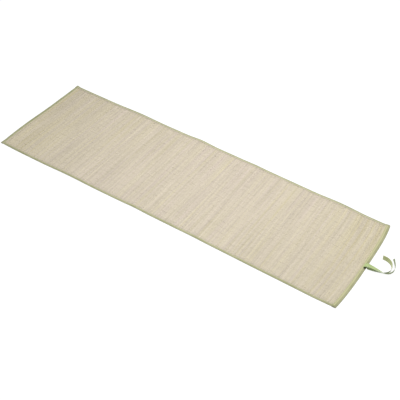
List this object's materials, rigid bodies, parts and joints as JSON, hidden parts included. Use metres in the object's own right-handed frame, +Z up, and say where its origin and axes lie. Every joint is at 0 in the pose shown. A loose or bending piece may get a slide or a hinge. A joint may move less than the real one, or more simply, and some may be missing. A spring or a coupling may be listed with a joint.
{
  "type": "raffia beach mat",
  "caption": "Long narrow beach mat of straw stems laid side by side, bound on its edges with folded green tape, laid out flat with a two-tailed ribbon tie at one short end.",
  "frame": {"origin": "midway between the mat's four corners, on the underside of the straw panel, which is the surface the mat lies on", "axes": "+X along the mat to the end with the tie, +Y across the mat, +Z up out of its upper face"},
  "size_m": [1.9292, 0.6089, 0.0236],
  "materials": {
    "straw": "dry, faintly glossy straw stems in pale mixed tones",
    "binding_tape": "matt woven cotton tape",
    "tie_ribbon": "soft woven ribbon with a low sheen",
    "sewing_thread": "twisted sewing thread",
    "warp_thread": "thin undyed warp thread"
  },
  "bodies": {
    "root": {"straw_panel": "straw", "near_side_binding": "binding_tape", "far_side_binding": "binding_tape", "plain_end_binding": "binding_tape", "tie_end_binding": "binding_tape", "tie_ribbon": "tie_ribbon"}
  },
  "joints": []
}
